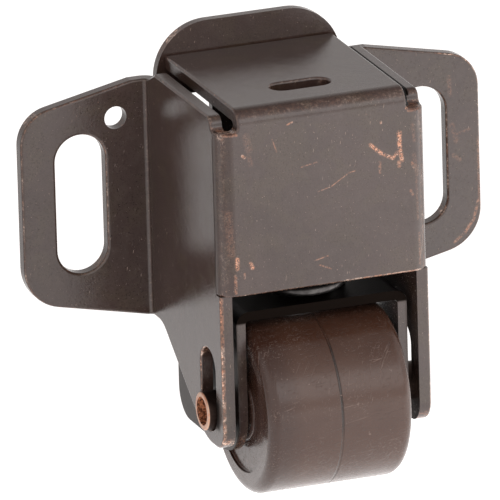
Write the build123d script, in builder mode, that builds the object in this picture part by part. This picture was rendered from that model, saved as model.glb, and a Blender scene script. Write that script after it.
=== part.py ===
"""Roller catch for a cabinet door: a folded sheet-steel case with slotted ears, and inside it a
sprung carrier that holds a moulded roller on a tubular axle.

Millimetres. +X runs along the case's width, +Z up, and the front plate faces -Y. The origin is
midway between the two ear slots, on the plane that lies against the cabinet. The roller is at
rest, with the spring holding it down.
"""

import math
import os

from build123d import *

os.makedirs("parts", exist_ok=True)

# Case: one folded steel sheet
sheet = 1.2
inside_bend = 0.35
edge_round = 0.25
fine = 0.01
case_width = 20.8
case_depth = 20.3
top_z = 13.4
front_bottom_z = -4.6
wall_below_top = 0.85
wall_bottom_z = -11.8
wall_shoulder_depth = 3.6

# Ears, which turn out from the rear edges of the side walls
ear_span = 46.0
ear_root_drop = 1.1
ear_shoulder = 1.1
ear_tip_half_height = 9.1
ear_top_radius = 3.5
ear_bottom_radius = 4.2
ear_slot_spacing = 34.2
ear_slot_width = 5.0
ear_slot_length = 13.6
pin_hole_diameter = 2.2
pin_hole_x = -13.5
pin_hole_z = 8.05

# Top plate, folded back from the front plate and free at its sides and rear
top_plate_side_gap = 0.8
top_plate_rear_gap = 0.15
top_slot_length = 5.8
top_slot_width = 2.4
relief_depth = 2.1
relief_run = 0.45
relief_radius = 0.55
relief_corner_radius = 0.9

# Axle, and the straight slots in the walls that it slides in
axle_behind_front = 4.45
axle_z = -16.8
axle_diameter = 3.7
axle_bore = 2.7
axle_end_round = 0.2
axle_proud = 0.7
travel = 4.2
slot_clearance = 0.05

# Pointed lower end of each side wall, around the axle's slot
arm_front_setback = 0.6
arm_tip_below_axle = 3.15
arm_tip_run = 4.95
arm_tip_front_radius = 2.2
arm_tip_rear_radius = 5.0
arm_heel_depth = 3.8
arm_heel_radius = 3.0

# Roller
roller_diameter = 16.8
roller_left_gap = 0.25
roller_right_gap = 0.65
roller_edge_round = 1.05
roller_clearance = 0.05
hub_diameter = 6.4
recess_diameter = 12.7
recess_depth = 0.3
recess_round = 0.15

# Carrier: a second folded sheet, thinner than the case
carrier_sheet = 0.9
carrier_side_gap = 0.7
carrier_front_gap = 0.35
carrier_rear_y = -2.65
bridge_over_roller = 0.8
arm_below_axle = 4.45
arm_front_corner = 4.2
arm_rear_corner = 2.7

# Rear strip of the carrier, which ends above the case in a wide rounded tab
rear_strip_setback = 0.08
rear_strip_width = 7.5
tab_side_clearance = 0.06
tab_below_top = 4.05
tab_above_top = 2.9
tab_top_radius = 5.2
tab_bottom_radius = 1.0
tab_root_radius = 1.5

# Spring, and the tongue of the carrier that keeps it on its seat
wire = 1.0
spring_diameter = 7.9
spring_behind_front = 5.7
active_turns = 6
end_pitch = 1.08
ground_off = 0.35
points_per_turn = 12
tongue_width = 4.6
tongue_height = 6.0
tongue_round = 1.2
window_margin = 0.4

# Places that follow from the sizes above
half_case = case_width / 2
outside_bend = inside_bend + sheet
ear_bend_x = half_case + inside_bend
ear_bend_y = -(sheet + inside_bend)
front_bend_x = half_case - outside_bend
front_bend_y = -(case_depth - outside_bend)
half_top = half_case - sheet - top_plate_side_gap
top_bend_z = top_z - outside_bend
wall_top_z = top_z - wall_below_top
ear_root_top_z = wall_top_z - ear_root_drop
relief_bottom_z = top_z - relief_depth
relief_rear_y = front_bend_y + relief_run
axle_y = -(case_depth - axle_behind_front)
spring_y = -(case_depth - spring_behind_front)
arm_front_y = -(case_depth - arm_front_setback)
tip_z = axle_z - arm_tip_below_axle
tip_rear_y = arm_front_y + arm_tip_run
heel_y = -arm_heel_depth

carrier_bend = inside_bend + carrier_sheet
half_carrier = half_case - sheet - carrier_side_gap
carrier_bend_x = half_carrier - carrier_bend
bridge_z = axle_z + roller_diameter / 2 + bridge_over_roller
bridge_top_z = bridge_z + carrier_sheet
carrier_bend_z = bridge_top_z - carrier_bend
carrier_front_y = -(case_depth - sheet - carrier_front_gap)
strip_front_y = -(rear_strip_setback + carrier_sheet)
strip_bend_y = strip_front_y - inside_bend
strip_bend_z = bridge_top_z + inside_bend
half_strip = rear_strip_width / 2
tab_top_z = top_z + tab_above_top
tab_bottom_z = top_z - tab_below_top
bend_beside_tab = math.sqrt(outside_bend**2 - (strip_front_y - ear_bend_y) ** 2)
half_tab = ear_bend_x - bend_beside_tab - tab_side_clearance
top_rear_y = strip_front_y - top_plate_rear_gap
tongue_front_y = spring_y - carrier_sheet / 2
tongue_bend_y = tongue_front_y - inside_bend
window_rear_y = tongue_bend_y + tongue_height + inside_bend + carrier_sheet + window_margin

turning_plane = Plane((0, axle_y, axle_z), x_dir=(1, 0, 0), z_dir=(0, -1, 0))
axle_line = Axis((0, axle_y, axle_z), (1, 0, 0))
roller_radius = roller_diameter / 2
roller_left_x = -(half_carrier - carrier_sheet) + roller_left_gap
roller_right_x = half_carrier - carrier_sheet - roller_right_gap
roller_middle_x = (roller_left_x + roller_right_x) / 2
half_axle = half_case + axle_proud


def quarter_ring(center, inner, outer, x_side, y_side):
    """Section of a right-angle bend: one quarter of a ring, on the sides given."""
    with Locations(center):
        Circle(outer)
        Circle(inner, mode=Mode.SUBTRACT)
        Rectangle(outer, outer, align=(x_side, y_side), mode=Mode.INTERSECT)


# Case
with BuildPart() as housing:
    # Bend between the side wall and the front plate, and the front plate
    with BuildSketch(Plane.XY.offset(front_bottom_z)):
        quarter_ring((front_bend_x, front_bend_y), inside_bend, outside_bend, Align.MIN, Align.MAX)
    extrude(amount=wall_top_z - front_bottom_z)
    with BuildSketch(Plane.XZ.offset(case_depth - sheet)):
        with Locations((0, front_bottom_z)):
            Rectangle(
                front_bend_x, top_bend_z - front_bottom_z, align=(Align.MIN, Align.MIN)
            )
    extrude(amount=sheet)
    lower_edges = edges().group_by(Axis.Z)[0]
    outer_arc = lower_edges.filter_by(GeomType.CIRCLE).sort_by(SortBy.RADIUS)[-1]
    fillet([lower_edges.sort_by(Axis.Y)[0], outer_arc], edge_round)

    # Right ear: a flat flange with a tapered outline
    with BuildSketch(Plane.XZ):
        with BuildLine():
            Polyline(
                (ear_bend_x, wall_bottom_z),
                (ear_span / 2, -ear_tip_half_height),
                (ear_span / 2, ear_tip_half_height),
                (ear_bend_x + ear_shoulder, ear_root_top_z),
                (ear_bend_x, ear_root_top_z),
                close=True,
            )
        make_face()
        fillet(vertices().group_by(Axis.X)[-1].sort_by(Axis.Y)[0], ear_bottom_radius)
        fillet(vertices().group_by(Axis.X)[-1].sort_by(Axis.Y)[-1], ear_top_radius)
        with Locations((ear_slot_spacing / 2, 0)):
            SlotOverall(ear_slot_length, ear_slot_width, rotation=90, mode=Mode.SUBTRACT)
    extrude(amount=sheet)

    # Bend between the ear and the side wall
    with BuildSketch(Plane.XY.offset(wall_bottom_z)):
        quarter_ring((ear_bend_x, ear_bend_y), inside_bend, outside_bend, Align.MAX, Align.MIN)
    extrude(amount=ear_root_top_z - wall_bottom_z)

    # Side wall, with its pointed lower end and the axle's slot
    with BuildSketch(Plane.YZ.offset(half_case - sheet)):
        with BuildLine():
            Polyline(
                (ear_bend_y, wall_bottom_z),
                (ear_bend_y, ear_root_top_z),
                (-wall_shoulder_depth, wall_top_z),
                (front_bend_y, wall_top_z),
                (front_bend_y, front_bottom_z),
                (arm_front_y, front_bottom_z),
                (arm_front_y, tip_z),
                (tip_rear_y, tip_z),
                (heel_y, wall_bottom_z),
                close=True,
            )
        make_face()
        fillet(vertices().sort_by_distance((arm_front_y, tip_z))[0], arm_tip_front_radius)
        fillet(vertices().sort_by_distance((tip_rear_y, tip_z))[0], arm_tip_rear_radius)
        fillet(vertices().sort_by_distance((heel_y, wall_bottom_z))[0], arm_heel_radius)
        with Locations((axle_y, axle_z + travel / 2)):
            SlotCenterToCenter(
                travel, axle_diameter + 2 * slot_clearance, rotation=90, mode=Mode.SUBTRACT
            )
    extrude(amount=sheet)

    # Relief notch where the bends meet: cut through the front, then through the side
    with BuildSketch(Plane.XZ.offset(-(relief_rear_y - relief_radius))):
        with Locations((half_top, relief_bottom_z)):
            Rectangle(half_case, half_case, align=(Align.MIN, Align.MIN))
        fillet(vertices().sort_by_distance((half_top, relief_bottom_z))[0], relief_radius)
    extrude(amount=sheet + outside_bend, mode=Mode.SUBTRACT)
    with BuildSketch(Plane.YZ.offset(half_top + relief_radius)):
        with Locations((relief_rear_y, relief_bottom_z)):
            Rectangle(half_case, half_case, align=(Align.MAX, Align.MIN))
        fillet(vertices().sort_by_distance((relief_rear_y, relief_bottom_z))[0], relief_radius)
    extrude(amount=sheet + outside_bend, mode=Mode.SUBTRACT)
    wall_corner = edges().sort_by_distance((half_case - sheet / 2, relief_rear_y, wall_top_z))[0]
    fillet(wall_corner, relief_corner_radius)

    # Bend into the top plate, and the top plate
    with BuildSketch(Plane.YZ):
        quarter_ring((front_bend_y, top_bend_z), inside_bend, outside_bend, Align.MAX, Align.MIN)
    extrude(amount=half_top)
    with BuildSketch(Plane.XY.offset(top_z - sheet)):
        with Locations((0, front_bend_y)):
            Rectangle(half_top, top_rear_y - front_bend_y, align=(Align.MIN, Align.MIN))
        with Locations((0, spring_y)):
            SlotOverall(top_slot_length, top_slot_width, mode=Mode.SUBTRACT)
    extrude(amount=sheet)

    # Round the punched edges on the sheet's outer side: an outline edge borders one outer face
    outer_faces = faces().filter_by_position(Axis.Y, -sheet - fine, -sheet + fine)
    outer_faces += faces().filter_by_position(Axis.X, half_case - fine, half_case + fine)
    outer_faces += faces().filter_by_position(Axis.Y, -case_depth - fine, -case_depth + fine)
    outer_faces += faces().filter_by_position(Axis.Z, top_z - fine, top_z + fine)
    for bend in faces().filter_by(GeomType.CYLINDER):
        if abs(bend.radius - outside_bend) < fine and bend.center().Y < front_bend_y:
            outer_faces.append(bend)
        if abs(bend.radius - inside_bend) < fine and bend.center().X > half_case:
            outer_faces.append(bend)
    outer_edges = outer_faces.edges()
    punched = []
    for edge in outer_edges:
        borders = sum(edge.is_same(other) for other in outer_edges)
        at_middle = edge.center().X < fine
        rounded_already = edge.center().Z - front_bottom_z
        if borders == 1 and not at_middle and not -fine < rounded_already < edge_round + fine:
            punched.append(edge)
    fillet(punched, edge_round)

    mirror(about=Plane.YZ)

    # Small fixing hole, in the left ear only
    with BuildSketch(Plane.XZ):
        with Locations((pin_hole_x, pin_hole_z)):
            Circle(pin_hole_diameter / 2)
    extrude(amount=sheet, mode=Mode.SUBTRACT)

# Carrier
with BuildPart() as carrier:
    # Bridge over the roller, where the spring sits
    with BuildSketch(Plane.XY.offset(bridge_z)):
        with Locations((0, carrier_front_y)):
            Rectangle(
                carrier_bend_x, carrier_rear_y - carrier_front_y, align=(Align.MIN, Align.MIN)
            )
        with Locations((0, carrier_rear_y)):
            Rectangle(half_strip, strip_bend_y - carrier_rear_y, align=(Align.MIN, Align.MIN))
        with Locations((0, tongue_bend_y)):
            Rectangle(
                tongue_width / 2 + window_margin,
                window_rear_y - tongue_bend_y,
                align=(Align.MIN, Align.MIN),
                mode=Mode.SUBTRACT,
            )
    extrude(amount=carrier_sheet)

    # Bend between the bridge and the arm, and the arm that holds the axle
    with BuildSketch(Plane.XZ.offset(-carrier_rear_y)):
        quarter_ring(
            (carrier_bend_x, carrier_bend_z), inside_bend, carrier_bend, Align.MIN, Align.MIN
        )
    extrude(amount=carrier_rear_y - carrier_front_y)
    with BuildSketch(Plane.YZ.offset(half_carrier - carrier_sheet)):
        with BuildLine():
            Polyline(
                (carrier_front_y, carrier_bend_z),
                (carrier_rear_y, carrier_bend_z),
                (carrier_rear_y, axle_z - arm_below_axle),
                (carrier_front_y, axle_z - arm_below_axle),
                close=True,
            )
        make_face()
        fillet(vertices().group_by(Axis.Y)[0].sort_by(Axis.X)[0], arm_front_corner)
        fillet(vertices().group_by(Axis.Y)[0].sort_by(Axis.X)[-1], arm_rear_corner)
        with Locations((axle_y, axle_z)):
            Circle(axle_diameter / 2, mode=Mode.SUBTRACT)
    extrude(amount=carrier_sheet)

    # Rear strip: its bend, then the strip up to the wide tab
    with BuildSketch(Plane.YZ):
        quarter_ring(
            (strip_bend_y, strip_bend_z), inside_bend, carrier_bend, Align.MIN, Align.MAX
        )
    extrude(amount=half_strip)
    with BuildSketch(Plane.XZ.offset(rear_strip_setback)):
        with BuildLine():
            Polyline(
                (0, strip_bend_z),
                (half_strip, strip_bend_z),
                (half_strip, tab_bottom_z),
                (half_tab, tab_bottom_z),
                (half_tab, tab_top_z),
                (0, tab_top_z),
                close=True,
            )
        make_face()
        tab_root = vertices().sort_by_distance((half_strip, tab_bottom_z))[0]
        fillet(tab_root, tab_root_radius)
        fillet(vertices().group_by(Axis.X)[-1].sort_by(Axis.Y)[0], tab_bottom_radius)
        fillet(vertices().group_by(Axis.X)[-1].sort_by(Axis.Y)[-1], tab_top_radius)
    extrude(amount=carrier_sheet)

    # Tongue inside the spring: its bend, then the upright
    with BuildSketch(Plane.YZ):
        quarter_ring(
            (tongue_bend_y, strip_bend_z), inside_bend, carrier_bend, Align.MIN, Align.MAX
        )
    extrude(amount=tongue_width / 2)
    with BuildSketch(Plane.XZ.offset(-(tongue_front_y + carrier_sheet))):
        with BuildLine():
            Polyline(
                (0, strip_bend_z),
                (tongue_width / 2, strip_bend_z),
                (tongue_width / 2, bridge_top_z + tongue_height),
                (0, bridge_top_z + tongue_height),
                close=True,
            )
        make_face()
        fillet(vertices().group_by(Axis.X)[-1].sort_by(Axis.Y)[-1], tongue_round)
    extrude(amount=carrier_sheet)

    mirror(about=Plane.YZ)

# Roller, with a shallow ring-shaped recess in each end
with BuildPart() as roller:
    with BuildSketch(turning_plane):
        with BuildLine():
            Polyline(
                (roller_middle_x, axle_diameter / 2 + roller_clearance),
                (roller_right_x, axle_diameter / 2 + roller_clearance),
                (roller_right_x, hub_diameter / 2),
                (roller_right_x - recess_depth, hub_diameter / 2),
                (roller_right_x - recess_depth, recess_diameter / 2),
                (roller_right_x, recess_diameter / 2),
                (roller_right_x, roller_radius),
                (roller_middle_x, roller_radius),
                close=True,
            )
        make_face()
        fillet(vertices().sort_by_distance((roller_right_x, roller_radius))[0], roller_edge_round)
        inner_floor = vertices().sort_by_distance(
            (roller_right_x - recess_depth, hub_diameter / 2)
        )[0]
        fillet(inner_floor, recess_round)
        outer_floor = vertices().sort_by_distance(
            (roller_right_x - recess_depth, recess_diameter / 2)
        )[0]
        fillet(outer_floor, recess_round)
    revolve(axis=axle_line)
    mirror(about=Plane.YZ.offset(roller_middle_x))

# Axle: a short length of tube
with BuildPart() as axle:
    with BuildSketch(turning_plane):
        with Locations((0, axle_bore / 2)):
            Rectangle(
                half_axle, (axle_diameter - axle_bore) / 2, align=(Align.MIN, Align.MIN)
            )
        fillet(vertices().sort_by_distance((half_axle, axle_diameter / 2))[0], axle_end_round)
    revolve(axis=axle_line)
    mirror(about=Plane.YZ)

# Spring: a close turn at each end, ground flat, and evenly open between them
spring_top_z = top_z - sheet
coil_radius = (spring_diameter - wire) / 2
path_foot_z = bridge_top_z + wire / 2 - ground_off
path_top_z = spring_top_z - wire / 2 + ground_off
active_pitch = (path_top_z - path_foot_z - 2 * end_pitch) / active_turns
all_turns = active_turns + 2

path_points = []
for step in range(all_turns * points_per_turn + 1):
    turn = step / points_per_turn
    height = min(turn, 1) * end_pitch
    height += min(max(turn - 1, 0), active_turns) * active_pitch
    height += max(turn - 1 - active_turns, 0) * end_pitch
    angle = 2 * math.pi * turn
    path_points.append(
        (
            coil_radius * math.cos(angle),
            spring_y + coil_radius * math.sin(angle),
            path_foot_z + height,
        )
    )

with BuildPart() as spring:
    with BuildLine():
        coil = Spline(*path_points)
    with BuildSketch(Plane(origin=coil @ 0, z_dir=coil % 0)):
        Circle(wire / 2)
    sweep(path=coil)
    with BuildSketch(Plane.XY.offset(bridge_top_z)):
        with Locations((0, spring_y)):
            Rectangle(2 * spring_diameter, 2 * spring_diameter)
    extrude(amount=spring_top_z - bridge_top_z, mode=Mode.INTERSECT)

housing.part.label = "housing"
export_step(housing.part, "parts/housing.step")
carrier.part.label = "carrier"
export_step(carrier.part, "parts/carrier.step")
roller.part.label = "roller"
export_step(roller.part, "parts/roller.step")
axle.part.label = "axle"
export_step(axle.part, "parts/axle.step")
spring.part.label = "spring"
export_step(spring.part, "parts/spring.step")
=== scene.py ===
"""Looks of the roller catch: aged bronze sheet with copper showing where it is worn, a brown
moulded roller, a copper-coloured tube and a steel spring, in a plain pale studio.

Metres, in the frame of the CAD model. In a material, places and widths are in millimetres, and
a noise's scale is per millimetre.
"""

import math

import bmesh
import bpy
from mathutils import Matrix, Vector


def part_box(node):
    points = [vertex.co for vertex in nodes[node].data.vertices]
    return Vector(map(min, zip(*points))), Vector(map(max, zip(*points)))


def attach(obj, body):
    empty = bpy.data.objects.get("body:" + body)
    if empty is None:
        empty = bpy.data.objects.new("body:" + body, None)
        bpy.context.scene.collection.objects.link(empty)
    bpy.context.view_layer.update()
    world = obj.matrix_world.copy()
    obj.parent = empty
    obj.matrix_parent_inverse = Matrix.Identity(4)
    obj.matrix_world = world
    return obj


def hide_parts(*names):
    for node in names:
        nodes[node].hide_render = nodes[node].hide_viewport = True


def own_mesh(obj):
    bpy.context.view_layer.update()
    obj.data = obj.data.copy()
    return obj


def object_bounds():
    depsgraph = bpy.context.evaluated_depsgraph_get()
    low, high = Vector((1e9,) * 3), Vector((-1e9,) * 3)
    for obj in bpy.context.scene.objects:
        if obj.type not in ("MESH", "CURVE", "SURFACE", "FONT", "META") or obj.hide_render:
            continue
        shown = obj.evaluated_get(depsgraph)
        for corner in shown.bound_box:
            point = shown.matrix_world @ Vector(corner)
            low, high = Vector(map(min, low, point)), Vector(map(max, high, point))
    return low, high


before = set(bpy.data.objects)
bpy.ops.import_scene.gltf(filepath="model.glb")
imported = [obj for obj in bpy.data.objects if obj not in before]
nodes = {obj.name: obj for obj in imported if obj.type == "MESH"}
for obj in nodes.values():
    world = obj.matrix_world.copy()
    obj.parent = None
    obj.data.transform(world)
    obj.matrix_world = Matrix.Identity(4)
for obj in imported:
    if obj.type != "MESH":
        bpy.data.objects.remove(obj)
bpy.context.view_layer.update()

MM = 0.001


def middle_of(node):
    """The middle of a CAD node's box, in millimetres."""
    low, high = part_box(node)
    return (low + high) / 2 / MM


# Camera, fitted to the photograph: angles in degrees, the rest in metres, the lens in millimetres
VIEW_AZIMUTH = 20.265
VIEW_ELEVATION = 18.3
VIEW_ROLL = -1.635
VIEW_DISTANCE = 1.5
VIEW_TARGET = (-0.002968, -0.008, -0.004464)
LENS = 1153.03
SENSOR = 36.0

# Places on the object, in millimetres
FRONT_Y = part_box("housing")[0].y / MM
AXLE_MIDDLE = middle_of("axle")
TUBE_END_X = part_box("axle")[1].x / MM
TUBE_BORE_RADIUS = 1.35
ROLLER_MIDDLE_X = middle_of("roller").x
EAR_ROOT_X = 12.0

# The spring, in metres, and its turns between its closed ends
SPRING_WIRE = 1.0 * MM
SPRING_GROUND_OFF = 0.35 * MM
SPRING_END_PITCH = 1.08 * MM
SPRING_ACTIVE_TURNS = 6

# The studio, in metres
TABLE_HALF_WIDTH = 3.0
TABLE_GAP = 0.02 * MM
LAMP_PLACE = (0.5, -0.9, 0.5)

# Colours, in linear light
WARM = (1.0, 0.955, 0.94)
PAPER = (1.0, 0.975, 0.965)
BRONZE = (0.036, 0.021, 0.0175)
BRONZE_DARK = (0.028, 0.0155, 0.0125)
BRONZE_PALE = (0.075, 0.055, 0.046)
OLIVE = (0.044, 0.03, 0.018)
# Nearly black: the tarnish's random dark patches, and painted shade
DARK_TARNISH_AND_SHADE = (0.006, 0.0042, 0.0034)
COPPER = (0.42, 0.2, 0.125)
COPPER_PALE = (0.72, 0.52, 0.42)
TUBE_DULL = (0.45, 0.3, 0.22)
# Painted shade on the tube's side, where it stands out of the wall
TUBE_PAINTED_SHADE = (0.035, 0.022, 0.018)
BORE_DARK = (0.07, 0.022, 0.01)
BORE_BRIGHT = (0.5, 0.2, 0.1)
ROLLER = (0.047, 0.022, 0.014)
ROLLER_DARK = (0.039, 0.0165, 0.01)
# Painted shade towards the roller's left end
ROLLER_PAINTED_SHADE = (0.024, 0.009, 0.0055)
ROLLER_PALE = (0.12, 0.08, 0.065)
PARTING_LINE = (0.012, 0.006, 0.004)
STEEL_DARK = (0.05, 0.047, 0.046)
STEEL = (0.1, 0.095, 0.092)

# Where copper shows on the case's bends and edges, and one painted highlight: boxes, and how
# much is added in each
CASE_WEAR_AND_HIGHLIGHT = [
    # The side walls' pointed lower ends, the left one again behind its front edge
    ((-12, -21, -21), (12, -18.6, -4.8), 0.55),
    ((-12, -17.5, -21), (-8, -5, -13), 0.55),
    # The notches beside the top bend
    ((-10, -20.4, 11.0), (10, -18.4, 11.7), 0.35),
    # The left front bend and the left ear's bend, which are nearly clean
    ((-11, -21, -4.5), (-8.6, -18.6, 12), -0.12),
    ((-11.8, -2.4, -12), (-10, 0, 12), -0.14),
    # The ears' rims
    ((19, -1.5, -12), (24, 0, 10), 0.7),
    ((-24, -1.5, -12), (-12.5, 0, 12), 0.2),
    # The top bend, and the front plate's lower edge
    ((-8.4, -21, 11.9), (8.4, -18.8, 14), -0.06),
    ((-9, -20.5, -4.7), (9, -19, -4.4), 0.5),
    # The left wall: its front edge, its slot's upper end, and its rear edge, rubbed to copper and partly
    # a painted highlight
    ((-10.6, -19.9, -19.5), (-9.9, -19.2, -4.7), 1.3),
    ((-10.6, -17.9, -12.9), (-10.1, -13.8, -10.4), 1.0),
    # Painted highlight on the rounded rear edge, over its rubbed copper
    ((-10.6, -13.0, -20.0), (-9.2, -2.0, -11.0), 4.0),
]

# Where the case's flat faces are rubbed too: boxes, each with its softness and its strength
CASE_WORN = [
    # The left wall's front corner, and the front plate's lower edge
    ((-10.5, -19.8, -19.0), (-10.2, -19.6, -4.8), 0.2, 0.4),
    ((2.0, -20.4, -4.7), (9.5, -20.0, -4.45), 0.12, 0.6),
    # The notches beside the top bend
    ((-9.9, -20.5, 11.15), (-8.5, -18.6, 11.3), 0.15, 0.45),
    ((8.5, -20.5, 11.15), (9.9, -18.6, 11.3), 0.15, 0.3),
]

# Where shade is painted on the case, dull and nearly black, as boxes with a softness and a strength
CASE_PAINTED_SHADE = [
    # A painted dark reflection of the tube in the left wall, and painted shade in the crease beside the
    # left front bend
    ((-10.6, -18.3, -17.6), (-10.2, -17.6, -15.6), 0.9, 0.9),
    ((-10.6, -18.8, -4.4), (-10.2, -18.7, 10.6), 0.06, 0.7),
    # Painted shade in the gap at the right wall's inner rim
    ((9.0, -18.2, 11.5), (9.38, -1.4, 12.7), 0.08, 1.0),
]

# The carrier's arms at their lower front ends, and the rim of its tab
CARRIER_WEAR = [
    ((-9, -20, -22), (9, -15, -17), 0.3),
    ((-10, -1.5, 13.6), (10, 0, 17), 0.6),
]

# Painted shade on the carrier: its bridge under the front plate, and its arms' outer faces in the gaps
# beside the walls
CARRIER_PAINTED_SHADE = [
    ((-9, -19, -7.7), (9, -2.4, -6.4), 0.3, 1.0),
    ((-8.7, -18.7, -22), (-8.4, -2.4, -7.9), 0.1, 0.6),
    ((8.4, -18.7, -22), (8.7, -2.4, -7.9), 0.1, 0.6),
]

# Rubbed lines on the front plate and the right ear, as seen in the photograph: the X and Z of
# each end, the width and the strength
FRONT_MARKS = [
    # The V-shaped scratch
    ((4.7, 8.4), (5.8, 7.4), 0.26, 0.9),
    ((5.8, 7.4), (6.9, 6.8), 0.24, 0.75),
    ((6.9, 6.8), (7.4, 7.3), 0.25, 0.7),
    ((7.6, 9.2), (7.6, 7.7), 0.32, 0.9),
    ((7.6, 7.7), (7.8, 6.5), 0.3, 0.8),
    ((7.5, 6.3), (7.5, 6.0), 0.3, 0.5),
    # The front plate's lower left corner
    ((-8.8, -0.9), (-8.8, -1.8), 0.3, 0.95),
    ((-7.5, -1.5), (-7.3, -1.9), 0.28, 0.9),
    ((-8.1, -2.4), (-8.1, -2.8), 0.14, 0.5),
    ((-9.0, -2.5), (-9.0, -4.2), 0.2, 0.5),
    ((-9.5, 3.6), (-9.3, -0.4), 0.5, 0.14),
    # Its upper left part
    ((-7.6, 10.9), (-7.3, 9.6), 0.5, 0.13),
    ((-7.4, 9.0), (-7.2, 8.2), 0.35, 0.13),
    ((-8.0, 9.1), (-7.8, 8.9), 0.2, 0.6),
    ((-3.5, 11.5), (-3.0, 11.7), 0.12, 0.6),
    ((-5.0, 10.3), (-4.6, 9.0), 0.08, 0.4),
    # Its upper right part and its right edge
    ((5.8, 10.5), (5.8, 10.4), 0.16, 0.5),
    ((8.35, 11.45), (8.7, 11.85), 0.16, 1.0),
    ((5.6, 6.6), (5.6, 5.6), 0.2, 0.3),
    ((8.8, 6.1), (9.0, 5.6), 0.2, 0.35),
    ((8.9, 9.8), (9.1, 8.2), 0.25, 0.14),
    ((9.0, 6.9), (9.3, 4.9), 0.3, 0.12),
    ((9.2, 4.5), (9.3, 0.5), 0.2, 0.12),
    ((8.6, 3.4), (8.8, 3.0), 0.2, 0.3),
    ((9.4, -0.9), (9.4, -3.9), 0.18, 0.2),
    # Fine lines across its middle
    ((-2.2, 7.2), (-0.6, 7.5), 0.09, 0.35),
    ((-0.6, 4.6), (0.7, 4.9), 0.07, 0.4),
    ((0.7, 4.9), (2.5, 6.0), 0.07, 0.5),
    ((2.5, 6.0), (3.1, 6.1), 0.07, 0.5),
    ((-0.6, -2.6), (0.5, -3.1), 0.1, 0.45),
    ((-1.2, -2.1), (0.2, -1.8), 0.08, 0.5),
    # The right ear: its rim, round its lower corner, and the mottling beside its slot
    ((22.8, 1.0), (22.8, -5.0), 0.2, 0.22),
    ((22.7, -5.2), (22.2, -7.0), 0.22, 0.4),
    ((22.2, -7.0), (21.3, -8.2), 0.22, 0.5),
    ((21.3, -8.2), (20.2, -9.0), 0.2, 0.45),
    ((20.0, 7.4), (20.1, 5.6), 0.3, 0.15),
    ((20.2, 2.6), (20.6, 1.0), 0.4, 0.13),
    ((20.4, 1.6), (22.0, 2.0), 0.2, 0.13),
    ((20.3, -0.4), (20.9, -0.9), 0.3, 0.16),
]


def camera():
    """The camera at the photograph's angle. It is set well back, as the photograph's was."""
    azimuth, elevation, roll = (math.radians(a) for a in (VIEW_AZIMUTH, VIEW_ELEVATION, VIEW_ROLL))
    right = Vector((math.cos(azimuth), -math.sin(azimuth), 0))
    forward = Vector(
        (
            math.sin(azimuth) * math.cos(elevation),
            math.cos(azimuth) * math.cos(elevation),
            -math.sin(elevation),
        )
    )
    up = right.cross(forward)
    rolled_right = right * math.cos(roll) + up * math.sin(roll)
    rolled_up = up * math.cos(roll) - right * math.sin(roll)
    data = bpy.data.cameras.new("camera")
    data.lens = LENS
    data.sensor_width = SENSOR
    data.clip_start = 0.05
    data.clip_end = 50
    shown = bpy.data.objects.new("camera", data)
    bpy.context.scene.collection.objects.link(shown)
    turn = Matrix((rolled_right, rolled_up, -forward)).transposed().to_4x4()
    place = Vector(VIEW_TARGET) - forward * VIEW_DISTANCE
    shown.matrix_world = Matrix.Translation(place) @ turn
    bpy.context.scene.camera = shown


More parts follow.
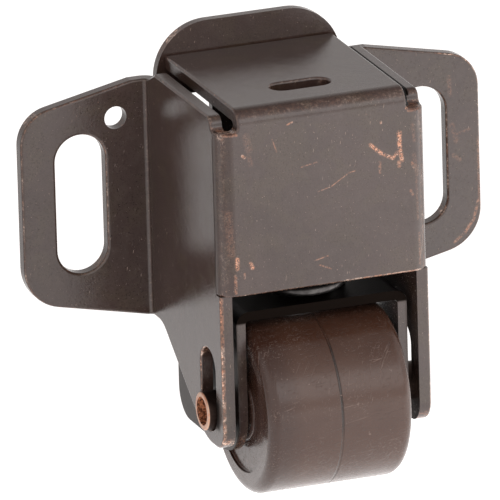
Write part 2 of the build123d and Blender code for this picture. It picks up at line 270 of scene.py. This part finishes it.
class Shade:
    """Short calls that add linked nodes to one material. Each node is made after the ones that
    feed it, because the renderer works in that order and can hold only so many values."""

    def __init__(self, name):
        self.material = bpy.data.materials.new(name)
        self.material.use_nodes = True
        self.tree = self.material.node_tree
        self.tree.nodes.clear()
        coords = self.node("ShaderNodeTexCoord")
        self.place = self.vector("SCALE", coords.outputs["Object"], scale=1 / MM)
        self.normal = coords.outputs["Normal"]
        self.x, self.y, self.z = self.split(self.place)

    def node(self, kind, **settings):
        made = self.tree.nodes.new(kind)
        for key, value in settings.items():
            setattr(made, key, value)
        return made

    def feed(self, socket, value):
        """Links a value that varies to a socket, or sets one that doesn't."""
        if isinstance(value, bpy.types.NodeSocket):
            self.tree.links.new(value, socket)
        else:
            socket.default_value = value

    def vector(self, operation, first, second=None, scale=None):
        made = self.node("ShaderNodeVectorMath", operation=operation)
        self.feed(made.inputs[0], first)
        if second is not None:
            self.feed(made.inputs[1], second)
        if scale is not None:
            self.feed(made.inputs["Scale"], scale)
        is_number = operation in ("LENGTH", "DISTANCE", "DOT_PRODUCT")
        return made.outputs["Value" if is_number else "Vector"]

    def split(self, vector):
        made = self.node("ShaderNodeSeparateXYZ")
        self.feed(made.inputs[0], vector)
        return list(made.outputs)

    def join(self, x, y, z):
        made = self.node("ShaderNodeCombineXYZ")
        for socket, value in zip(made.inputs, (x, y, z)):
            self.feed(socket, value)
        return made.outputs[0]

    def math(self, operation, first, second=0.0, clamp=False):
        made = self.node("ShaderNodeMath", operation=operation, use_clamp=clamp)
        self.feed(made.inputs[0], first)
        self.feed(made.inputs[1], second)
        return made.outputs[0]

    def step(self, value, low, high, bottom=0.0, top=1.0):
        """A smooth step from bottom at low to top at high."""
        made = self.node("ShaderNodeMapRange", interpolation_type="SMOOTHSTEP")
        for name, given in (
            ("Value", value), ("From Min", low), ("From Max", high), ("To Min", bottom), ("To Max", top)
        ):
            self.feed(made.inputs[name], given)
        return made.outputs["Result"]

    def noise(self, vector, scale, detail=2.0, roughness=0.5, distortion=0.0):
        made = self.node("ShaderNodeTexNoise")
        self.feed(made.inputs["Vector"], vector)
        for name, given in (
            ("Scale", scale), ("Detail", detail), ("Roughness", roughness), ("Distortion", distortion)
        ):
            self.feed(made.inputs[name], given)
        return made.outputs["Fac"]

    def mix(self, share, first, second):
        """A colour between two others."""
        made = self.node("ShaderNodeMix", data_type="RGBA")
        self.feed(made.inputs["Factor"], share)
        for socket, value in ((made.inputs[6], first), (made.inputs[7], second)):
            self.feed(socket, (*value, 1.0) if isinstance(value, tuple) else value)
        return made.outputs[2]

    def blend(self, share, first, second):
        """A number between two others."""
        made = self.node("ShaderNodeMix", data_type="FLOAT")
        for socket, value in ((made.inputs[0], share), (made.inputs[2], first), (made.inputs[3], second)):
            self.feed(socket, value)
        return made.outputs[0]

    def largest(self, values):
        total = values[0]
        for value in values[1:]:
            total = self.math("MAXIMUM", total, value)
        return total

    def streaks(self, angles, length, width, low, high):
        """Fine straight scratches: long thin noise, turned, with only its crests kept."""
        turned = self.node("ShaderNodeMapping", vector_type="TEXTURE")
        self.feed(turned.inputs["Vector"], self.place)
        turned.inputs["Rotation"].default_value = [math.radians(a) for a in angles]
        turned.inputs["Scale"].default_value = (width, width, length)
        return self.step(self.noise(turned.outputs[0], 1.0, 1.0, 0.5), low, high)

    def rub(self, start, end, width):
        """A rubbed line between two points, each given by its X and Z."""
        run = Vector(end) - Vector(start)
        direction = (*run.normalized(), 0.0)
        offset = self.vector("SUBTRACT", self.join(self.x, self.z, 0.0), (*start, 0.0))
        along = self.vector("DOT_PRODUCT", offset, direction)
        kept = self.node("ShaderNodeClamp")
        self.feed(kept.inputs["Value"], along)
        kept.inputs["Max"].default_value = run.length
        foot = self.vector("SCALE", direction, scale=kept.outputs[0])
        away = self.vector("DISTANCE", offset, foot)
        return self.step(away, width, 0.25 * width)

    def inside(self, low, high, soft=0.4):
        """One inside a box with soft sides, given by its corners."""
        share = 1.0
        for value, least, most in zip((self.x, self.y, self.z), low, high):
            share = self.math("MULTIPLY", share, self.step(value, least - soft, least))
            share = self.math("MULTIPLY", share, self.step(value, most + soft, most))
        return share

    def bend_share(self):
        """Above zero only on bends and rounded edges, where the normal leaves the three axes."""
        sides = self.split(self.vector("ABSOLUTE", self.normal))
        return self.math("SUBTRACT", 1.0, self.largest(sides))

    def bump(self, heights):
        """Bumps laid over each other, each a height and its depth."""
        normal = None
        for height, depth in heights:
            made = self.node("ShaderNodeBump")
            made.inputs["Strength"].default_value = 1.0
            made.inputs["Distance"].default_value = depth * MM
            self.feed(made.inputs["Height"], height)
            if normal is not None:
                self.feed(made.inputs["Normal"], normal)
            normal = made.outputs[0]
        return normal

    def finish(self, colour, roughness, metallic, normal=None, specular=0.5):
        """The material, with one shader that these values feed."""
        self.shader = self.node("ShaderNodeBsdfPrincipled")
        self.feed(self.shader.inputs["Base Color"], colour)
        self.feed(self.shader.inputs["Roughness"], roughness)
        self.feed(self.shader.inputs["Metallic"], metallic)
        self.shader.inputs["Specular IOR Level"].default_value = specular
        if normal is not None:
            self.feed(self.shader.inputs["Normal"], normal)
        output = self.node("ShaderNodeOutputMaterial")
        self.tree.links.new(self.shader.outputs[0], output.inputs["Surface"])
        return self.material


def worn_share(shade, patch, torn, regions, base_wear, worn):
    """How far bends and edges are rubbed to copper, and the flat faces in the worn boxes."""
    wear = base_wear
    for low, high, weight in regions:
        wear = shade.math("ADD", wear, shade.math("MULTIPLY", shade.inside(low, high), weight))
    share = shade.step(shade.bend_share(), 0.05, 0.2)
    share = shade.math("MULTIPLY", share, shade.step(torn, 0.47, 0.63, 0.12, 1))
    share = shade.math("MULTIPLY", share, shade.step(patch, 0.35, 0.65, 0.4, 1))
    share = shade.math("MULTIPLY", share, wear, clamp=True)
    for low, high, soft, strength in worn:
        flat = shade.math("MULTIPLY", shade.inside(low, high, soft), strength)
        share = shade.math("MAXIMUM", share, shade.math("MULTIPLY", flat, shade.step(torn, 0.4, 0.55)))
    return share


def marked_share(shade, marks):
    """How far copper shows along the marks, on the front plate and on the right ear's front."""
    on_plate = shade.step(shade.y, FRONT_Y + 1.6, FRONT_Y + 1.2)
    past_root = shade.step(shade.x, EAR_ROOT_X, EAR_ROOT_X + 0.4)
    on_ear = shade.math("MULTIPLY", past_root, shade.step(shade.y, -0.5, -0.7))
    share = 0.0
    for start, end, width, strength in marks:
        line = shade.math("MULTIPLY", shade.rub(start, end, width), strength)
        share = shade.math("MAXIMUM", share, line)
    share = shade.math("MULTIPLY", share, shade.math("MAXIMUM", on_plate, on_ear))
    ragged = shade.step(shade.noise(shade.place, 5.5, 4, 0.75, 0.5), 0.42, 0.56)
    return shade.math("MULTIPLY", share, ragged)


def bronze(name, regions, base_wear, marks=(), painted_shade_boxes=(), worn=()):
    """Aged bronze lacquer on sheet steel, glossy, and rubbed to copper at its edges.
    regions are boxes with a weight, added to base_wear. marks are lines where copper shows,
    each as (start, end, width, strength) in X and Z on the front faces. painted_shade_boxes and
    worn are boxes, each with its softness and its strength: in the first, shade is painted, the
    lacquer dull and nearly black, and in the second its flat faces are rubbed too."""
    shade = Shade(name)
    cloud = shade.noise(shade.place, 0.13, 3, 0.5, 0.4)
    patch = shade.noise(shade.place, 0.8, 4, 0.6, 0.5)
    torn = shade.noise(shade.place, 4.0, 4, 0.7, 0.3)
    grain = shade.noise(shade.place, 5.0, 4, 0.7)
    hue = shade.noise(shade.vector("ADD", shade.place, (40.0, 7.0, 19.0)), 0.35, 4, 0.6, 0.6)
    colour = shade.mix(shade.step(cloud, 0.3, 0.7), BRONZE_DARK, BRONZE)
    colour = shade.mix(shade.step(patch, 0.4, 0.8, 0, 0.2), colour, BRONZE_PALE)
    colour = shade.mix(shade.step(grain, 0.25, 0.5, 0.4, 0), colour, BRONZE_DARK)
    colour = shade.mix(shade.step(hue, 0.45, 0.65, 0, 0.35), colour, OLIVE)

    scratches = shade.largest(
        [
            shade.streaks((0, 12, 35), 14.0, 0.1, 0.745, 0.8),
            shade.streaks((20, -48, 0), 9.0, 0.09, 0.75, 0.8),
            shade.streaks((-35, 75, 20), 8.0, 0.09, 0.755, 0.8),
        ]
    )
    spots = shade.step(shade.noise(shade.place, 2.4, 3, 0.5), 0.75, 0.79)
    colour = shade.mix(shade.math("MULTIPLY", scratches, 0.28), colour, COPPER_PALE)
    colour = shade.mix(shade.math("MULTIPLY", spots, 0.25), colour, COPPER)

    bare = worn_share(shade, patch, torn, regions, base_wear, worn)
    colour = shade.mix(bare, colour, shade.mix(shade.step(patch, 0.45, 0.62), COPPER, COPPER_PALE))
    if marks:
        marked = marked_share(shade, marks)
        colour = shade.mix(marked, colour, shade.mix(shade.step(grain, 0.5, 0.7), COPPER, COPPER_PALE))
        bare = shade.math("MAXIMUM", bare, marked)

    dust = shade.step(shade.noise(shade.place, 8.0, 3, 0.65), 0.6, 0.74, 0.0, 0.3)
    dust = shade.math("MULTIPLY", dust, shade.step(cloud, 0.42, 0.62, 0.1, 1))
    colour = shade.mix(dust, colour, BRONZE_PALE)
    tarnish = shade.step(shade.noise(shade.place, 7.0, 3, 0.65), 0.5, 0.72, 0.0, 0.4)
    tarnish = shade.math("MULTIPLY", tarnish, shade.step(hue, 0.35, 0.6, 0.4, 1))
    colour = shade.mix(tarnish, colour, DARK_TARNISH_AND_SHADE)

    roughness = shade.blend(bare, shade.step(patch, 0.3, 0.7, 0.12, 0.19), 0.34)
    metallic = shade.math("MAXIMUM", shade.math("MULTIPLY", bare, 0.8), tarnish)
    # Painted shade: each box turns the lacquer nearly black, dull and metallic
    for low, high, soft, strength in painted_shade_boxes:
        painted_dark = shade.math("MULTIPLY", shade.inside(low, high, soft), strength)
        colour = shade.mix(painted_dark, colour, DARK_TARNISH_AND_SHADE)
        roughness = shade.blend(painted_dark, roughness, 0.6)
        metallic = shade.math("MAXIMUM", metallic, painted_dark)
    normal = shade.bump([(patch, 0.012), (grain, 0.01), (scratches, -0.012), (torn, 0.01)])
    return shade.finish(colour, roughness, metallic, normal)


def roller_plastic():
    """Brown moulded plastic with fine scratches and flecks, with painted shade towards its left end,
    and with a dark parting line round its middle, darkest between given heights."""
    shade = Shade("roller_plastic")
    cloud = shade.noise(shade.place, 0.25, 3, 0.5)
    grain = shade.noise(shade.place, 6.0, 3, 0.6)
    colour = shade.mix(shade.step(cloud, 0.3, 0.7), ROLLER_DARK, ROLLER)
    # Painted shade, growing towards the left end
    left_end_painted_shade = shade.step(shade.x, -3.4, -6.2, 0.0, 0.75)
    colour = shade.mix(left_end_painted_shade, colour, ROLLER_PAINTED_SHADE)

    scratches = shade.largest(
        [
            shade.streaks((0, 80, 0), 7.0, 0.11, 0.66, 0.72),
            shade.streaks((0, 30, 60), 6.0, 0.1, 0.67, 0.73),
            shade.streaks((25, 55, 0), 5.0, 0.1, 0.67, 0.73),
            shade.streaks((-30, 40, 0), 6.0, 0.1, 0.67, 0.73),
        ]
    )
    scuffs = shade.step(shade.noise(shade.place, 1.5, 5, 0.75), 0.62, 0.75)
    rubbed = shade.step(shade.noise(shade.place, 0.22, 2), 0.4, 0.6, 0.1, 0.6)
    colour = shade.mix(shade.math("MULTIPLY", scratches, rubbed), colour, ROLLER_PALE)
    colour = shade.mix(shade.math("MULTIPLY", scuffs, 0.4), colour, ROLLER_PALE)

    beside = shade.math("ABSOLUTE", shade.math("SUBTRACT", shade.x, ROLLER_MIDDLE_X))
    parting = shade.step(beside, 0.16, 0.05)
    # The parting line is darkened only in a band of heights, fading below and above it
    below = shade.step(shade.z, -19.0, -16.5, 0.2, 0.9)
    above = shade.step(shade.z, -10.6, -9.6, 1.0, 0.1)
    dark_line = shade.math("MULTIPLY", parting, shade.math("MULTIPLY", below, above))
    colour = shade.mix(dark_line, colour, PARTING_LINE)
    flecks = shade.step(shade.noise(shade.place, 2.6, 3, 0.7), 0.66, 0.71, 0.0, 0.75)
    colour = shade.mix(flecks, colour, ROLLER_PALE)

    roughness = shade.step(grain, 0.3, 0.7, 0.15, 0.24)
    normal = shade.bump([(cloud, 0.05), (grain, 0.008), (scratches, -0.02), (parting, -0.1)])
    return shade.finish(colour, roughness, 0.0, normal, specular=0.4)


def copper_tube():
    """Copper-plated tube: painted shade along its length, copper at its ends, speckled in its bore."""
    shade = Shade("copper_tube")
    patch = shade.noise(shade.place, 1.6, 4, 0.65, 0.4)
    grain = shade.noise(shade.place, 7.0, 3, 0.6)
    from_middle = shade.join(
        0.0,
        shade.math("SUBTRACT", shade.y, AXLE_MIDDLE.y),
        shade.math("SUBTRACT", shade.z, AXLE_MIDDLE.z),
    )
    away = shade.vector("LENGTH", from_middle)
    bore = shade.step(away, TUBE_BORE_RADIUS + 0.09, TUBE_BORE_RADIUS + 0.01)
    end = shade.step(shade.math("ABSOLUTE", shade.x), TUBE_END_X - 0.14, TUBE_END_X - 0.06)
    specks = shade.step(shade.noise(shade.place, 3.5, 3, 0.7), 0.42, 0.6)
    colour = shade.mix(shade.step(patch, 0.38, 0.62), COPPER, TUBE_DULL)
    # Painted shade on the tube's side: only its end keeps the copper
    colour = shade.mix(end, TUBE_PAINTED_SHADE, colour)
    colour = shade.mix(bore, colour, shade.mix(specks, BORE_DARK, BORE_BRIGHT))
    roughness = shade.step(patch, 0.3, 0.7, 0.3, 0.45)
    metallic = shade.blend(bore, 0.9, 0.15)
    return shade.finish(colour, roughness, metallic, shade.bump([(patch, 0.02), (grain, 0.008)]))


def spring_steel():
    """Drawn spring wire, a little dull."""
    shade = Shade("spring_steel")
    patch = shade.noise(shade.place, 1.1, 4, 0.6)
    grain = shade.noise(shade.place, 9.0, 3, 0.6)
    colour = shade.mix(shade.step(patch, 0.35, 0.65), STEEL_DARK, STEEL)
    roughness = shade.step(grain, 0.3, 0.7, 0.3, 0.42)
    return shade.finish(colour, roughness, 0.95, shade.bump([(grain, 0.006)]))


def dress(name, material):
    """Gives a CAD node its material."""
    for slot in nodes[name].material_slots:
        slot.material = material


def coil_mesh(low, high):
    """A coil that fills the box between two corners, with its ends closed up and ground flat."""
    steps_per_turn = 64
    around = 20
    middle = (low + high) / 2
    radius = (high.x - low.x - SPRING_WIRE) / 2
    foot = low.z + SPRING_WIRE / 2 - SPRING_GROUND_OFF
    top = high.z - SPRING_WIRE / 2 + SPRING_GROUND_OFF
    pitch = (top - foot - 2 * SPRING_END_PITCH) / SPRING_ACTIVE_TURNS
    mesh = bmesh.new()
    rings = []
    for step in range((SPRING_ACTIVE_TURNS + 2) * steps_per_turn + 1):
        turn = step / steps_per_turn
        end_turns = min(turn, 1) + max(turn - 1 - SPRING_ACTIVE_TURNS, 0)
        open_turns = min(max(turn - 1, 0), SPRING_ACTIVE_TURNS)
        height = end_turns * SPRING_END_PITCH + open_turns * pitch
        angle = 2 * math.pi * turn
        outward = Vector((math.cos(angle), math.sin(angle), 0))
        center = Vector((middle.x, middle.y, foot + height)) + outward * radius
        ring = []
        for part in range(around):
            swing = 2 * math.pi * part / around
            across = outward * math.cos(swing) + Vector((0, 0, math.sin(swing)))
            point = center + across * SPRING_WIRE / 2
            point.z = min(max(point.z, low.z), high.z)
            ring.append(mesh.verts.new(point))
        rings.append(ring)
    for ring, following in zip(rings, rings[1:]):
        for part in range(around):
            beyond = (part + 1) % around
            mesh.faces.new((ring[part], following[part], following[beyond], ring[beyond]))
    mesh.faces.new(rings[0])
    mesh.faces.new(list(reversed(rings[-1])))
    bmesh.ops.recalc_face_normals(mesh, faces=mesh.faces)
    data = bpy.data.meshes.new("coil_spring")
    mesh.to_mesh(data)
    mesh.free()
    for face in data.polygons:
        face.use_smooth = True
    return data


def coil(material):
    """The spring, wound as the CAD one is, with more steps."""
    low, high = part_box("spring")
    data = coil_mesh(low, high)
    data.materials.append(material)
    piece = bpy.data.objects.new("coil_spring", data)
    bpy.context.scene.collection.objects.link(piece)
    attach(piece, "housing")
    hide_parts("spring")
    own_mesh(piece)


def table_paper():
    """White paper lit from within: pale all over, a little less at the far left of the shot,
    and brightest at the front right and under the object."""
    shade = Shade("floor_paper")
    tone = shade.noise(shade.place, 0.004, 2)
    colour = shade.mix(tone, (0.2, 0.2, 0.2), (0.22, 0.22, 0.22))
    toward_front = shade.step(shade.y, 10.0, -50.0)
    toward_right = shade.step(shade.x, -20.0, 45.0, 0.3, 1.6)
    under = shade.math(
        "MULTIPLY", shade.step(shade.y, 5.0, -15.0), shade.step(shade.y, -75.0, -45.0, 0.0, 0.55)
    )
    across = shade.math("SUBTRACT", shade.x, shade.math("MULTIPLY", shade.y, 0.37))
    glow = shade.step(across, -60.0, -28.0, 0.68, 0.95)
    glow = shade.math("ADD", glow, shade.math("MULTIPLY", toward_front, toward_right))
    glow = shade.math("ADD", glow, under)
    paper = shade.finish(colour, 0.9, 0.0)
    shade.shader.inputs["Emission Color"].default_value = (*PAPER, 1)
    shade.feed(shade.shader.inputs["Emission Strength"], glow)
    return paper


def table():
    """The table that the object's lowest point almost touches."""
    mesh = bmesh.new()
    bmesh.ops.create_grid(mesh, x_segments=8, y_segments=8, size=TABLE_HALF_WIDTH)
    data = bpy.data.meshes.new("floor")
    mesh.to_mesh(data)
    mesh.free()
    data.materials.append(table_paper())
    floor = bpy.data.objects.new("floor", data)
    floor.location.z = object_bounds()[0][2] - TABLE_GAP
    bpy.context.scene.collection.objects.link(floor)


def surround():
    """A pale surround, brighter in front than behind, and dimmer overhead."""
    world = bpy.data.worlds.new("surround")
    world.use_nodes = True
    made = world.node_tree.nodes
    links = world.node_tree.links
    direction = made.new("ShaderNodeTexCoord")
    parts = made.new("ShaderNodeSeparateXYZ")
    links.new(direction.outputs["Generated"], parts.inputs[0])
    strength = made.new("ShaderNodeMath")
    strength.operation = "MULTIPLY"
    fades = (("Y", -0.3, 0.3, 1.8, 0.8), ("Z", 0.55, 0.95, 1.0, 0.4))
    for factor, (axis, *limits) in zip(strength.inputs, fades):
        fade = made.new("ShaderNodeMapRange")
        fade.interpolation_type = "SMOOTHSTEP"
        for name, limit in zip(("From Min", "From Max", "To Min", "To Max"), limits):
            fade.inputs[name].default_value = limit
        links.new(parts.outputs[axis], fade.inputs["Value"])
        links.new(fade.outputs["Result"], factor)
    links.new(strength.outputs[0], made["Background"].inputs["Strength"])
    made["Background"].inputs["Color"].default_value = (*WARM, 1)
    bpy.context.scene.world = world


def lamp():
    """A faint soft lamp at the front right, aimed at the object."""
    data = bpy.data.lights.new("front_right", "AREA")
    data.shape = "RECTANGLE"
    data.size = 0.8
    data.size_y = 0.5
    data.energy = 1.5
    shown = bpy.data.objects.new("front_right", data)
    shown.location = LAMP_PLACE
    shown.rotation_euler = (-Vector(LAMP_PLACE)).to_track_quat("-Z", "Y").to_euler()
    bpy.context.scene.collection.objects.link(shown)


camera()
table()
surround()
lamp()
bpy.context.scene.view_settings.view_transform = "Standard"

dress("housing", bronze("case_bronze", CASE_WEAR_AND_HIGHLIGHT, 0.22, FRONT_MARKS, CASE_PAINTED_SHADE, CASE_WORN))
dress("carrier", bronze("carrier_bronze", CARRIER_WEAR, 0.15, painted_shade_boxes=CARRIER_PAINTED_SHADE))
dress("roller", roller_plastic())
dress("axle", copper_tube())
coil(spring_steel())
